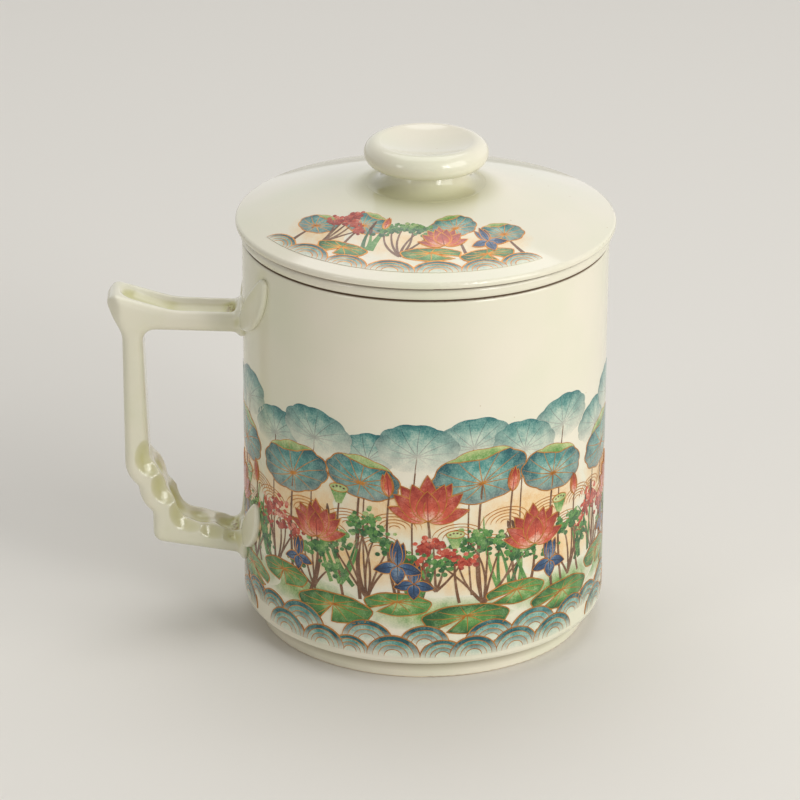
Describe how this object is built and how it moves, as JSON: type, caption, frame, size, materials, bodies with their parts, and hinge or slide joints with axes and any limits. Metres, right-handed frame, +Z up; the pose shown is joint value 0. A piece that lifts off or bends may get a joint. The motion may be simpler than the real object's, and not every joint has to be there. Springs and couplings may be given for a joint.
{
  "type": "tea infuser mug",
  "caption": "Straight porcelain mug with a branch-shaped handle, a lift-out strainer basket hung on its rim and a low domed lid with a mushroom knob.",
  "frame": {"origin": "on the table, at the middle of the foot ring", "axes": "+Z up along the cup's axis, -X towards the handle"},
  "size_m": [0.1137, 0.0848, 0.1141],
  "materials": {
    "cream_glaze": "glossy cream glaze on porcelain",
    "celadon_glaze": "glossy cream glaze that pools to a pale celadon green"
  },
  "bodies": {
    "mug": {"mug_body": "cream_glaze", "handle": "celadon_glaze"},
    "infuser": {"infuser": "cream_glaze"},
    "lid": {"lid": "cream_glaze", "lid_knob": "cream_glaze"}
  },
  "joints": [
    {"name": "infuser_lift", "type": "slide", "parent": "mug", "child": "infuser", "axis": [0, 0, 1], "range_m": [0, 0.075]},
    {"name": "lid_lift", "type": "slide", "parent": "infuser", "child": "lid", "axis": [0, 0, 1], "range_m": [0, 0.05]}
  ]
}
